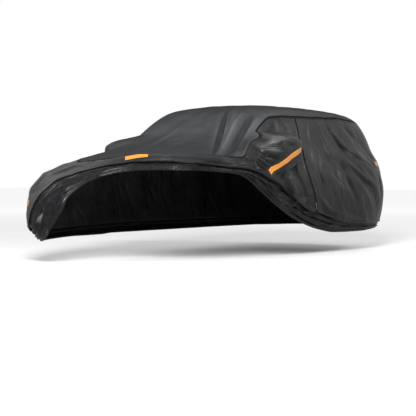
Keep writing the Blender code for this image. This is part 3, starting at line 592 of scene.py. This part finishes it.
    beside = np.abs(flat - ZIP_AROUND) - ZIP_WIDTH/2
    on_skirt = np.clip((row - LIP_START - 10)/6, 0, 1)*np.clip((SEAM - row)/4, 0, 1)
    rise += on_skirt*(0.0055*np.exp(-((beside - 0.010)/0.009)**2)
                      - 0.0065*np.clip(1 - (beside + 0.004)/0.006, 0, 1))
    lift = out + rise
    toward_ridge = np.clip((along[:, -1:] - along)/0.05, 0, 1)
    lift *= np.where(row > SEAM, toward_ridge, 1)
    bulge = pocket_bulge(points)
    points = points + lift[..., None]*normals
    points[..., 1] += bulge
    points[:, -1, 1] = 0
    inner = along[:, :LIP_START + 11] - fold
    above = along - fold
    above[:, :LIP_START + 11] = np.minimum(inner, -0.020)
    place = np.stack([flat, off, above], -1)
    return points, place, shade, around, starts


POINTS, PLACE, SHADE, AROUND, STARTS = cloth_grid()
COUNT = len(AROUND)
R0, R1, R2, R3, R4, L0, L1, L2, L3, L4, L5 = STARTS


def cell_owner():
    """The number of the piece that each cell belongs to."""
    names = ["top_panel", "front_panel", "left_rear_panel", "right_front_panel",
             "left_mirror_pocket", "right_mirror_pocket", "zip", "right_rear_panel",
             "left_front_panel"]
    owner = np.zeros((COUNT - 1, RIDGE), int)
    owner[:, :SEAM] = 3
    owner[:R1, :SEAM] = 7
    owner[R4:L0, :SEAM] = 1
    owner[L0:L4, :SEAM] = 8
    owner[L4:, :SEAM] = 2
    owner[L3:L4, LIP_START + round(LIP_ROWS/2):SEAM] = 6
    owner[R2:R3, LOW_END:WAIST_END] = 5
    owner[L1:L2, LOW_END:WAIST_END] = 4
    return names, owner


def new_piece(name, points, faces, material, place=None, shade=None):
    mesh = bpy.data.meshes.new(name)
    mesh.from_pydata([tuple(v) for v in points], [], [tuple(int(i) for i in f) for f in faces])
    mesh.validate()
    mesh.materials.append(material)
    if place is not None:
        spot = mesh.attributes.new("cloth_place", "FLOAT_VECTOR", "POINT")
        spot.data.foreach_set("vector", np.asarray(place, np.float32).ravel())
    if shade is not None:
        mesh.attributes.new("crease_shade_and_highlight", "FLOAT", "POINT").data.foreach_set(
            "value", np.asarray(shade, np.float32))
    mesh.shade_smooth()
    piece = bpy.data.objects.new(name, mesh)
    bpy.context.collection.objects.link(piece)
    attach(piece, "root")
    return piece


def cloth_pieces(materials):
    names, owner = cell_owner()
    flat_points = (POINTS - ROOF_REST).reshape(-1, 3)
    flat_place = PLACE.reshape(-1, 3)
    number = np.arange(POINTS.shape[0]*POINTS.shape[1]).reshape(POINTS.shape[:2])
    # the first column is the last one again, at the tail
    number[-1] = number[0]
    made = {}
    for index, name in enumerate(names):
        columns, rows = np.nonzero(owner == index)
        quads = np.stack([number[columns, rows], number[columns + 1, rows],
                          number[columns + 1, rows + 1], number[columns, rows + 1]], -1)
        used, inverse = np.unique(quads, return_inverse=True)
        made[name] = new_piece(name + "_cloth", flat_points[used], inverse.reshape(quads.shape),
                               materials[name], flat_place[used], SHADE.ravel()[used])
    return made


# ---- Materials ----------------------------------------------------------------------------------

class Nodes:
    """Short calls that add nodes to one material."""

    def __init__(self, name):
        self.material = bpy.data.materials.new(name)
        self.material.use_nodes = True
        self.tree = self.material.node_tree
        self.shader = self.tree.nodes["Principled BSDF"]

    def add(self, kind, **values):
        node = self.tree.nodes.new(kind)
        for key, value in values.items():
            setattr(node, key, value)
        return node

    def join(self, source, target):
        self.tree.links.new(source, target)

    def place(self, scale=(1, 1, 1)):
        spot = self.add("ShaderNodeAttribute", attribute_name="cloth_place")
        mapping = self.add("ShaderNodeMapping")
        mapping.inputs["Scale"].default_value = scale
        self.join(spot.outputs["Vector"], mapping.inputs["Vector"])
        return mapping.outputs["Vector"]

    def solid(self, scale=(1, 1, 1)):
        spot = self.add("ShaderNodeTexCoord")
        mapping = self.add("ShaderNodeMapping")
        mapping.inputs["Scale"].default_value = scale
        self.join(spot.outputs["Object"], mapping.inputs["Vector"])
        return mapping.outputs["Vector"]

    def noise(self, vector, scale, detail=3.0, rough=0.5):
        node = self.add("ShaderNodeTexNoise")
        self.join(vector, node.inputs["Vector"])
        node.inputs["Scale"].default_value = scale
        node.inputs["Detail"].default_value = detail
        node.inputs["Roughness"].default_value = rough
        return node.outputs["Fac"]

    def range(self, source, a, b, c, d):
        node = self.add("ShaderNodeMapRange")
        self.join(source, node.inputs["Value"])
        for key, value in zip(("From Min", "From Max", "To Min", "To Max"), (a, b, c, d)):
            node.inputs[key].default_value = value
        return node.outputs["Result"]

    def math(self, operation, a, b=None):
        node = self.add("ShaderNodeMath", operation=operation)
        for slot, value in enumerate((a, b)):
            if value is None:
                continue
            if isinstance(value, (int, float)):
                node.inputs[slot].default_value = value
            else:
                self.join(value, node.inputs[slot])
        return node.outputs["Value"]

    def mix(self, factor, a, b):
        node = self.add("ShaderNodeMix", data_type="RGBA")
        self.join(factor, node.inputs[0])
        for slot, value in ((6, a), (7, b)):
            if isinstance(value, tuple):
                node.inputs[slot].default_value = (*value, 1)
            else:
                self.join(value, node.inputs[slot])
        return node.outputs[2]

    def bump(self, height, strength, distance, after=None):
        node = self.add("ShaderNodeBump")
        if isinstance(strength, float):
            node.inputs["Strength"].default_value = strength
        else:
            self.join(strength, node.inputs["Strength"])
        node.inputs["Distance"].default_value = distance
        self.join(height, node.inputs["Height"])
        if after is not None:
            self.join(after, node.inputs["Normal"])
        return node.outputs["Normal"]


def weave(nodes, pitch=0.0011):
    """Crossed threads, in the cloth's own directions."""
    across = nodes.place()
    parts = []
    for axis, name in ((0, "X"), (1, "Y")):
        wave = nodes.add("ShaderNodeTexWave", wave_type="BANDS", bands_direction=name)
        nodes.join(across, wave.inputs["Vector"])
        wave.inputs["Scale"].default_value = 1/pitch/20*math.pi
        parts.append(wave.outputs["Fac"])
    return nodes.math("MAXIMUM", *parts)


def cloth_material(name, colour, light, crease_shading, rough, specular, satin=True, seam_dark=0.35):
    nodes = Nodes(name)
    shader = nodes.shader
    place = nodes.add("ShaderNodeAttribute", attribute_name="cloth_place")
    split = nodes.add("ShaderNodeSeparateXYZ")
    nodes.join(place.outputs["Vector"], split.inputs["Vector"])
    broad = nodes.noise(nodes.solid(), 3.2, 3.0, 0.55)
    streak = nodes.noise(nodes.place((60, 6, 6)), 1.0, 3.0, 0.6)
    tint = nodes.mix(nodes.range(broad, 0.32, 0.70, 0, 1), colour, light)
    tint = nodes.mix(nodes.range(streak, 0.40, 0.75, 0, 0.35), tint, light)
    # painted shade darkens the cloth down in the creases, and a painted highlight lightens it on
    # the crests
    fold = nodes.add("ShaderNodeAttribute", attribute_name="crease_shade_and_highlight").outputs["Fac"]
    tint = nodes.mix(nodes.range(fold, 0.05, -1.4, 0, crease_shading), tint,
                     tuple(0.22*v for v in colour))
    tint = nodes.mix(nodes.range(fold, 0.1, 1.5, 0, crease_shading), tint, tuple(2.4*v for v in light))
    if satin:
        # painted shade makes it darker low on the skirt near the fold edge, it is darker along the
        # zip's binding, and a painted highlight lightens the corner that hangs
        foot = nodes.math("MULTIPLY", nodes.range(split.outputs["Z"], 0.02, 0.34, 0.80, 0),
                          nodes.range(split.outputs["X"], -0.4, 0.2, 0, 1))
        corner = nodes.math("MULTIPLY", nodes.range(split.outputs["X"], -1.5, -1.0, 0, 1),
                            nodes.range(split.outputs["X"], -0.35, -0.10, 1, 0))
        corner = nodes.math("MULTIPLY", corner, nodes.range(split.outputs["Z"], 0.30, 0.45, 1, 0))
        binding = nodes.range(nodes.math("ABSOLUTE", nodes.math(
            "SUBTRACT", split.outputs["X"], ZIP_AROUND)), 0.016, 0.019, 1, 0)
        tint = nodes.mix(foot, tint, tuple(0.30*v for v in colour))
        tint = nodes.mix(nodes.math("MULTIPLY", corner, 0.6), tint, tuple(2.4*v for v in light))
        tint = nodes.mix(binding, tint, tuple(0.25*v for v in colour))
    else:
        # painted shade darkens the cloth where it faces upwards
        split_normal = nodes.add("ShaderNodeSeparateXYZ")
        nodes.join(nodes.add("ShaderNodeNewGeometry").outputs["Normal"],
                   split_normal.inputs["Vector"])
        level = nodes.range(split_normal.outputs["Z"], 0.84, 0.97, 0, 0.55)
        tint = nodes.mix(level, tint, tuple(0.35*v for v in colour))
    # the seam allowance under the roof seam shows darker, with a stitch line at each side
    off = split.outputs["Y"]
    band = nodes.range(nodes.math("ABSOLUTE", off), 0.018, 0.022, 1, 0)
    dark = tuple(v*seam_dark for v in colour)
    tint = nodes.mix(band, tint, dark)
    stitch_line = nodes.range(nodes.math("ABSOLUTE", nodes.math("SUBTRACT", nodes.math(
        "ABSOLUTE", off), 0.0195)), 0.0007, 0.0012, 1, 0)
    dash = nodes.math("GREATER_THAN", nodes.math("FRACT", nodes.math(
        "MULTIPLY", split.outputs["X"], 1/0.006)), 0.3)
    stitch = nodes.math("MULTIPLY", stitch_line, dash)
    tint = nodes.mix(nodes.math("MULTIPLY", stitch, 0.7), tint, light)
    roughness = nodes.range(streak, 0.3, 0.75, rough[0], rough[1])
    fine, coarse = 0.35, 0.35
    if satin:
        # the turned-under layer shows the cloth's smooth black side
        under = nodes.range(split.outputs["Z"], -0.016, 0.004, 1, 0)
        spots = nodes.noise(nodes.solid(), 26, 2.0, 0.5)
        black = nodes.mix(nodes.range(spots, 0.35, 0.7, 0, 1), (0.0020, 0.0020, 0.0022),
                          (0.0050, 0.0050, 0.0054))
        # painted highlights on the crests of its creases
        black = nodes.mix(nodes.range(fold, 0.7, 1.7, 0, 1), black, (0.075, 0.075, 0.078))
        tint = nodes.mix(under, tint, black)
        roughness = nodes.math("ADD", roughness, nodes.math("MULTIPLY", under, 0.06))
        fine = nodes.range(under, 0, 1, 0.35, 0.10)
        coarse = nodes.range(under, 0, 1, 0.35, 0.20)
    nodes.join(tint, shader.inputs["Base Color"])
    nodes.join(roughness, shader.inputs["Roughness"])
    shader.inputs["Specular IOR Level"].default_value = specular
    crinkle = nodes.noise(nodes.place((34, 22, 22)), 1.0, 4.0, 0.55)
    broad_crinkle = nodes.noise(nodes.solid(), 11, 3.0, 0.5)
    normal = nodes.bump(broad_crinkle, coarse, 0.010)
    normal = nodes.bump(crinkle, fine, 0.0022, normal)
    normal = nodes.bump(weave(nodes), 0.30, 0.00012, normal)
    normal = nodes.bump(stitch, 0.5, 0.0006, normal)
    nodes.join(normal, shader.inputs["Normal"])
    return nodes.material


def tape_material(name, colour, rough, specular=0.3):
    nodes = Nodes(name)
    nodes.shader.inputs["Specular IOR Level"].default_value = specular
    speck = nodes.noise(nodes.solid(), 420, 2.0)
    broad = nodes.noise(nodes.solid(), 9, 3.0)
    tint = nodes.mix(nodes.range(speck, 0.3, 0.7, 0, 1), colour, tuple(1.6*v for v in colour))
    tint = nodes.mix(nodes.range(broad, 0.35, 0.7, 0, 0.4), tint, tuple(2.2*v for v in colour))
    nodes.join(tint, nodes.shader.inputs["Base Color"])
    nodes.join(nodes.range(broad, 0.3, 0.7, rough - 0.08, rough + 0.08),
               nodes.shader.inputs["Roughness"])
    nodes.join(nodes.bump(speck, 0.3, 0.0003), nodes.shader.inputs["Normal"])
    return nodes.material


def strip_material(name):
    """Reflective tape: orange, with a grey band along its middle."""
    nodes = Nodes(name)
    place = nodes.add("ShaderNodeAttribute", attribute_name="cloth_place")
    split = nodes.add("ShaderNodeSeparateXYZ")
    nodes.join(place.outputs["Vector"], split.inputs["Vector"])
    across = nodes.math("ABSOLUTE", split.outputs["Y"])
    middle = nodes.range(across, 0.14, 0.20, 1, 0)
    broad = nodes.noise(nodes.solid(), 22, 3.0)
    orange = nodes.mix(nodes.range(broad, 0.3, 0.7, 0, 1), (0.230, 0.075, 0.0008),
                       (0.270, 0.096, 0.0016))
    beads = nodes.noise(nodes.solid(), 900, 1.0)
    grey = nodes.mix(nodes.range(beads, 0.3, 0.7, 0, 1), (0.070, 0.060, 0.056),
                     (0.095, 0.083, 0.077))
    tint = nodes.mix(middle, orange, grey)
    edge = nodes.range(across, 0.90, 0.96, 0, 1)
    tint = nodes.mix(edge, tint, (0.12, 0.030, 0.002))
    nodes.shader.inputs["Specular IOR Level"].default_value = 0.2
    nodes.join(tint, nodes.shader.inputs["Base Color"])
    nodes.join(nodes.range(middle, 0, 1, 0.50, 0.30), nodes.shader.inputs["Roughness"])
    nodes.join(nodes.bump(beads, 0.2, 0.0003), nodes.shader.inputs["Normal"])
    return nodes.material


def metal_material(name):
    nodes = Nodes(name)
    wear = nodes.noise(nodes.solid(), 160, 4.0)
    tint = nodes.mix(nodes.range(wear, 0.55, 0.75, 0, 1), (0.022, 0.022, 0.024),
                     (0.09, 0.09, 0.09))
    nodes.join(tint, nodes.shader.inputs["Base Color"])
    nodes.join(nodes.range(wear, 0.3, 0.7, 0.28, 0.5), nodes.shader.inputs["Roughness"])
    nodes.shader.inputs["Metallic"].default_value = 0.3
    nodes.join(nodes.bump(wear, 0.3, 0.0004), nodes.shader.inputs["Normal"])
    return nodes.material


def floor_material():
    nodes = Nodes("floor_pale")
    soft = nodes.noise(nodes.solid(), 0.8, 2.0)
    out = nodes.add("ShaderNodeVectorMath", operation="LENGTH")
    nodes.join(nodes.solid(), out.inputs[0])
    # painted shade and painted light: the floor is darker near the cover, where the lamps light it
    # most, and paler far off, where their light falls away
    pale = nodes.range(out.outputs["Value"], 4.0, 16.0, 0, 1)
    near = nodes.mix(nodes.range(soft, 0.3, 0.7, 0, 1), (0.44, 0.44, 0.45), (0.46, 0.46, 0.46))
    tint = nodes.mix(pale, near, (0.88, 0.88, 0.88))
    nodes.join(tint, nodes.shader.inputs["Base Color"])
    nodes.shader.inputs["Roughness"].default_value = 0.35
    return nodes.material


CHARCOAL, CHARCOAL_LIGHT = (0.0052, 0.0053, 0.0056), (0.0102, 0.0104, 0.0104)
GREY, GREY_LIGHT = (0.0184, 0.0189, 0.0197), (0.0232, 0.0240, 0.0246)
side_cloth = cloth_material("cover_side_cloth", CHARCOAL, CHARCOAL_LIGHT, 1.0, (0.34, 0.48), 0.05)
top_cloth = cloth_material("cover_top_cloth", GREY, GREY_LIGHT, 0.50, (0.60, 0.75), 0.005,
                           satin=False, seam_dark=0.2)
zip_cloth = tape_material("zip_tape", (0.0016, 0.0016, 0.0017), 0.7, 0.05)
MATERIALS = {"top_panel": top_cloth, "front_panel": side_cloth, "left_rear_panel": side_cloth,
             "right_front_panel": side_cloth, "right_rear_panel": side_cloth,
             "left_front_panel": side_cloth, "left_mirror_pocket": side_cloth,
             "right_mirror_pocket": side_cloth, "zip": zip_cloth}
CLOTHS = cloth_pieces(MATERIALS)

# ---- Strips, patches and the zip's parts --------------------------------------------------------
def cloth_skin():
    """The finished cloth above its fold edge, as a surface that rays can meet."""
    number = np.arange(POINTS.shape[0]*POINTS.shape[1]).reshape(POINTS.shape[:2])
    quads = np.stack([number[:-1, :-1], number[1:, :-1], number[1:, 1:], number[:-1, 1:]], -1)
    above = quads[:, LIP_END - 6:].reshape(-1, 4)
    return BVHTree.FromPolygons([tuple(v) for v in POINTS.reshape(-1, 3)],
                                [tuple(int(i) for i in q) for q in above])


SKIN, SKIN_REACH = cloth_skin(), 0.08


def on_cloth(points, outward):
    """Points moved along their own directions on to the finished cloth."""
    placed = []
    for p, w in zip(points.reshape(-1, 3), outward.reshape(-1, 3)):
        hit = SKIN.ray_cast(Vector(p + SKIN_REACH*w), Vector(-w), 2.5*SKIN_REACH)[0]
        placed.append(p if hit is None else np.array(hit))
    return np.array(placed).reshape(points.shape)


# around and height at even shares of each strip's run
STRIPS = {
    "strip_left_pocket": (2.174, 0.796, 2.256, 0.851, 2.310, 0.902,
                          2.410, 0.958, 2.560, 1.012),
    "strip_right_pocket": (-1.880, 1.020, -2.150, 1.010, -2.560, 1.020),
    "strip_front_left": (0.035, 0.900, 0.150, 0.911, 0.290, 0.922),
    "strip_front_right": (-0.880, 0.550, -0.720, 0.540, -0.570, 0.530),
    "strip_rear_left": (4.520, 0.900, 4.640, 0.900, 4.760, 0.900),
    "strip_rear_right": (-4.520, 0.900, -4.640, 0.900, -4.760, 0.900),
}
STRIP_WIDTH, STRIP_LIFT, STRIP_LINES = 0.052, 0.0028, 12
# The black piece under each pocket's strip, a backing that reaches below the strip as painted
# shadow: its run, then its widths at start, middle and end
PATCHES = {
    "left": (2.168, 0.786, 2.250, 0.835, 2.310, 0.875, 2.420, 0.925, 2.630, 0.980),
    "right": (-1.910, 1.015, -2.150, 0.990, -2.580, 1.000),
}
PATCH_WIDTHS, PATCH_LIFT, PATCH_LINES = (0.075, 0.125, 0.130), 0.0012, 18


def ribbon(ends, widths, lift, lines, cell=0.008):
    """A ribbon's points laid on the cloth, its places along and across, and its faces.

    Its width is given at its start, middle and end.
    """
    def way(count):
        share = np.linspace(0, 1, count + 1)
        return share, smooth_at(share, ends[0::2]), smooth_at(share, level_at(ends[1::2]))

    length = np.linalg.norm(np.diff(place_on_bulges(*way(60)[1:]), axis=0), axis=1).sum()
    steps = max(6, round(length/cell))
    share, arounds, levels = way(steps)
    middle = place_on_bulges(arounds, levels)
    normals = form_normals(arounds, levels, place_on_bulges)
    across = np.cross(normals, np.gradient(middle, axis=0))
    across /= np.linalg.norm(across, axis=1, keepdims=True)
    if across[len(across)//2, 2] < 0:
        across = -across
    rows = np.linspace(-1, 1, lines + 1)
    points = middle + rows[:, None, None]*smooth_at(share, widths)[:, None]/2*across
    outward = np.broadcast_to(normals, points.shape)
    seated = on_cloth(points, outward) + lift*outward
    # a ribbon is stiffer than the cloth: it bridges the small dips
    for _ in range(40):
        smooth = seated.copy()
        smooth[:, 1:-1] = (seated[:, :-2] + 2*seated[:, 1:-1] + seated[:, 2:])/4
        rise = ((smooth - seated)*outward).sum(axis=-1, keepdims=True)
        seated = seated + np.maximum(rise, 0)*outward
    place = np.zeros(points.shape)
    place[..., 0] = share*length
    place[..., 1] = rows[:, None]
    count = steps + 1
    quads = [(r*count + k, r*count + k + 1, (r + 1)*count + k + 1, (r + 1)*count + k)
             for r in range(lines) for k in range(steps)]
    a, b, c = seated[0, 0], seated[0, 1], seated[1, 0]
    if np.cross(b - a, c - a) @ normals[0] < 0:
        quads = [q[::-1] for q in quads]
    return seated - ROOF_REST, place, quads, length


strip_cloth = strip_material("strip_orange")
# black for the pieces under the pocket strips, which below each strip stand as painted shadow
backing_and_painted_shadow = tape_material("pocket_backing_and_painted_shadow", (0.0035, 0.0035, 0.0037), 0.6, 0.10)
STRIP_PIECES, STRIP_LENGTHS = {}, {}
for strip_name, ends in STRIPS.items():
    points, place, quads, length = ribbon(ends, (STRIP_WIDTH,)*3, STRIP_LIFT, STRIP_LINES)
    STRIP_PIECES[strip_name] = new_piece(strip_name + "_tape", points.reshape(-1, 3), quads,
                                         strip_cloth, place.reshape(-1, 3))
    STRIP_LENGTHS[strip_name] = length
for name, ends in PATCHES.items():
    points, place, quads, length = ribbon(ends, PATCH_WIDTHS, PATCH_LIFT, PATCH_LINES)
    new_piece(f"{name}_pocket_patch", points.reshape(-1, 3), quads,
                                    backing_and_painted_shadow, place.reshape(-1, 3))


TOOTH_PITCH, TOOTH_REACH, TOOTH_SWING = 0.0042, 0.0038, 0.0009
TOOTH_HIGH, TOOTH_LOW, TOOTH_SEAT = 0.0030, 0.0014, 0.0004


def zip_parts():
    """Teeth along the middle of the zip."""
    first = LIP_START + round(LIP_ROWS/2)
    middle = (L3 + L4)//2
    line = POINTS[middle, first:SEAM]
    side = POINTS[middle + 1, first:SEAM] - POINTS[middle - 1, first:SEAM]
    side /= np.linalg.norm(side, axis=1, keepdims=True)
    run = np.concatenate([[0], np.cumsum(np.linalg.norm(np.diff(line, axis=0), axis=1))])
    stops = np.arange(0.004, run[-1] - 0.004, TOOTH_PITCH)
    centre = np.stack([np.interp(stops, run, line[:, k]) for k in range(3)], -1)
    across = np.stack([np.interp(stops, run, side[:, k]) for k in range(3)], -1)
    up = np.gradient(centre, axis=0)
    up /= np.linalg.norm(up, axis=1, keepdims=True)
    out = np.cross(across, up)
    out /= np.linalg.norm(out, axis=1, keepdims=True)
    points, quads = [], []
    for k in range(len(stops)):
        swing = TOOTH_SWING if k % 2 else -TOOTH_SWING
        ring = []
        for share in (-1.0, -0.55, 0.55, 1.0):
            high = TOOTH_HIGH if abs(share) < 0.9 else TOOTH_LOW
            for along, lift in ((-0.0013, 0.0), (0.0013, 0.0), (0.0009, high), (-0.0009, high)):
                ring.append(centre[k] + across[k]*(share*TOOTH_REACH + swing) + up[k]*along
                            + out[k]*(TOOTH_SEAT + lift))
        base = len(points)
        points += ring
        quads.append((base + 3, base + 2, base + 1, base))
        quads.append((base + 12, base + 13, base + 14, base + 15))
        for ring_number in range(3):
            for a in range(4):
                b = (a + 1) % 4
                start = base + 4*ring_number
                quads.append((start + a, start + b, start + 4 + b, start + 4 + a))
    return np.array(points) - ROOF_REST, quads


teeth_points, teeth_faces = zip_parts()
teeth = new_piece("zip_teeth", teeth_points, teeth_faces,
                  tape_material("zip_coil", (0.003, 0.003, 0.003), 0.45, 0.10))
for poly in teeth.data.polygons:
    poly.use_smooth = False

# ---- What stands for what -----------------------------------------------------------------------
for name, piece in CLOTHS.items():
    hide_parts(name)
for name, piece in STRIP_PIECES.items():
    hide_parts(name)

slider_paint = metal_material("slider_paint")
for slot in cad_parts["zip_slider"].material_slots:
    slot.material = slider_paint

# ---- Stage, light and camera --------------------------------------------------------------------
FLOOR_HALF = 60.0
floor_mesh = bpy.data.meshes.new("floor")
floor_mesh.from_pydata([(x*FLOOR_HALF, y*FLOOR_HALF, -ROOF_REST[2])
                        for x, y in ((-1, -1), (1, -1), (1, 1), (-1, 1))], [], [(0, 1, 2, 3)])
floor = bpy.data.objects.new("floor", floor_mesh)
floor_mesh.materials.append(floor_material())
bpy.context.collection.objects.link(floor)

world = bpy.data.worlds.new("studio")
bpy.context.scene.world = world
world.use_nodes = True
world.node_tree.nodes["Background"].inputs["Color"].default_value = (1, 1, 1, 1)
world.node_tree.nodes["Background"].inputs["Strength"].default_value = 1.0
bpy.context.scene.view_settings.view_transform = "Standard"


def area_light(name, place, target, size, watts):
    light = bpy.data.lights.new(name, "AREA")
    light.shape = "RECTANGLE"
    light.size, light.size_y = size
    light.energy = watts
    lamp = bpy.data.objects.new(name, light)
    bpy.context.collection.objects.link(lamp)
    lamp.location = place
    lamp.rotation_euler = (Vector(target) - Vector(place)).to_track_quat("-Z", "Y").to_euler()


area_light("key", (7.2, 3.6, 2.6), (0.2, 0.2, -0.6), (2.4, 2.4), 2800)
area_light("side", (-4.0, 6.5, 3.2), (-0.9, 0.6, -0.7), (1.8, 1.8), 500)

# The camera fitted to the photo
LENS, SENSOR, EYE = 104.4, 36.0, (10.557, 6.604, -0.7245)
azimuth, elevation = math.radians(34.29), math.radians(1.41)
camera = bpy.data.objects.new("camera", bpy.data.cameras.new("camera"))
bpy.context.collection.objects.link(camera)
camera.data.lens, camera.data.sensor_width = LENS, SENSOR
camera.data.clip_end = 300
towards = -Vector((math.cos(azimuth)*math.cos(elevation), math.sin(azimuth)*math.cos(elevation),
                   math.sin(elevation)))
camera.location = EYE
camera.rotation_euler = towards.to_track_quat("-Z", "Y").to_euler()
bpy.context.scene.camera = camera
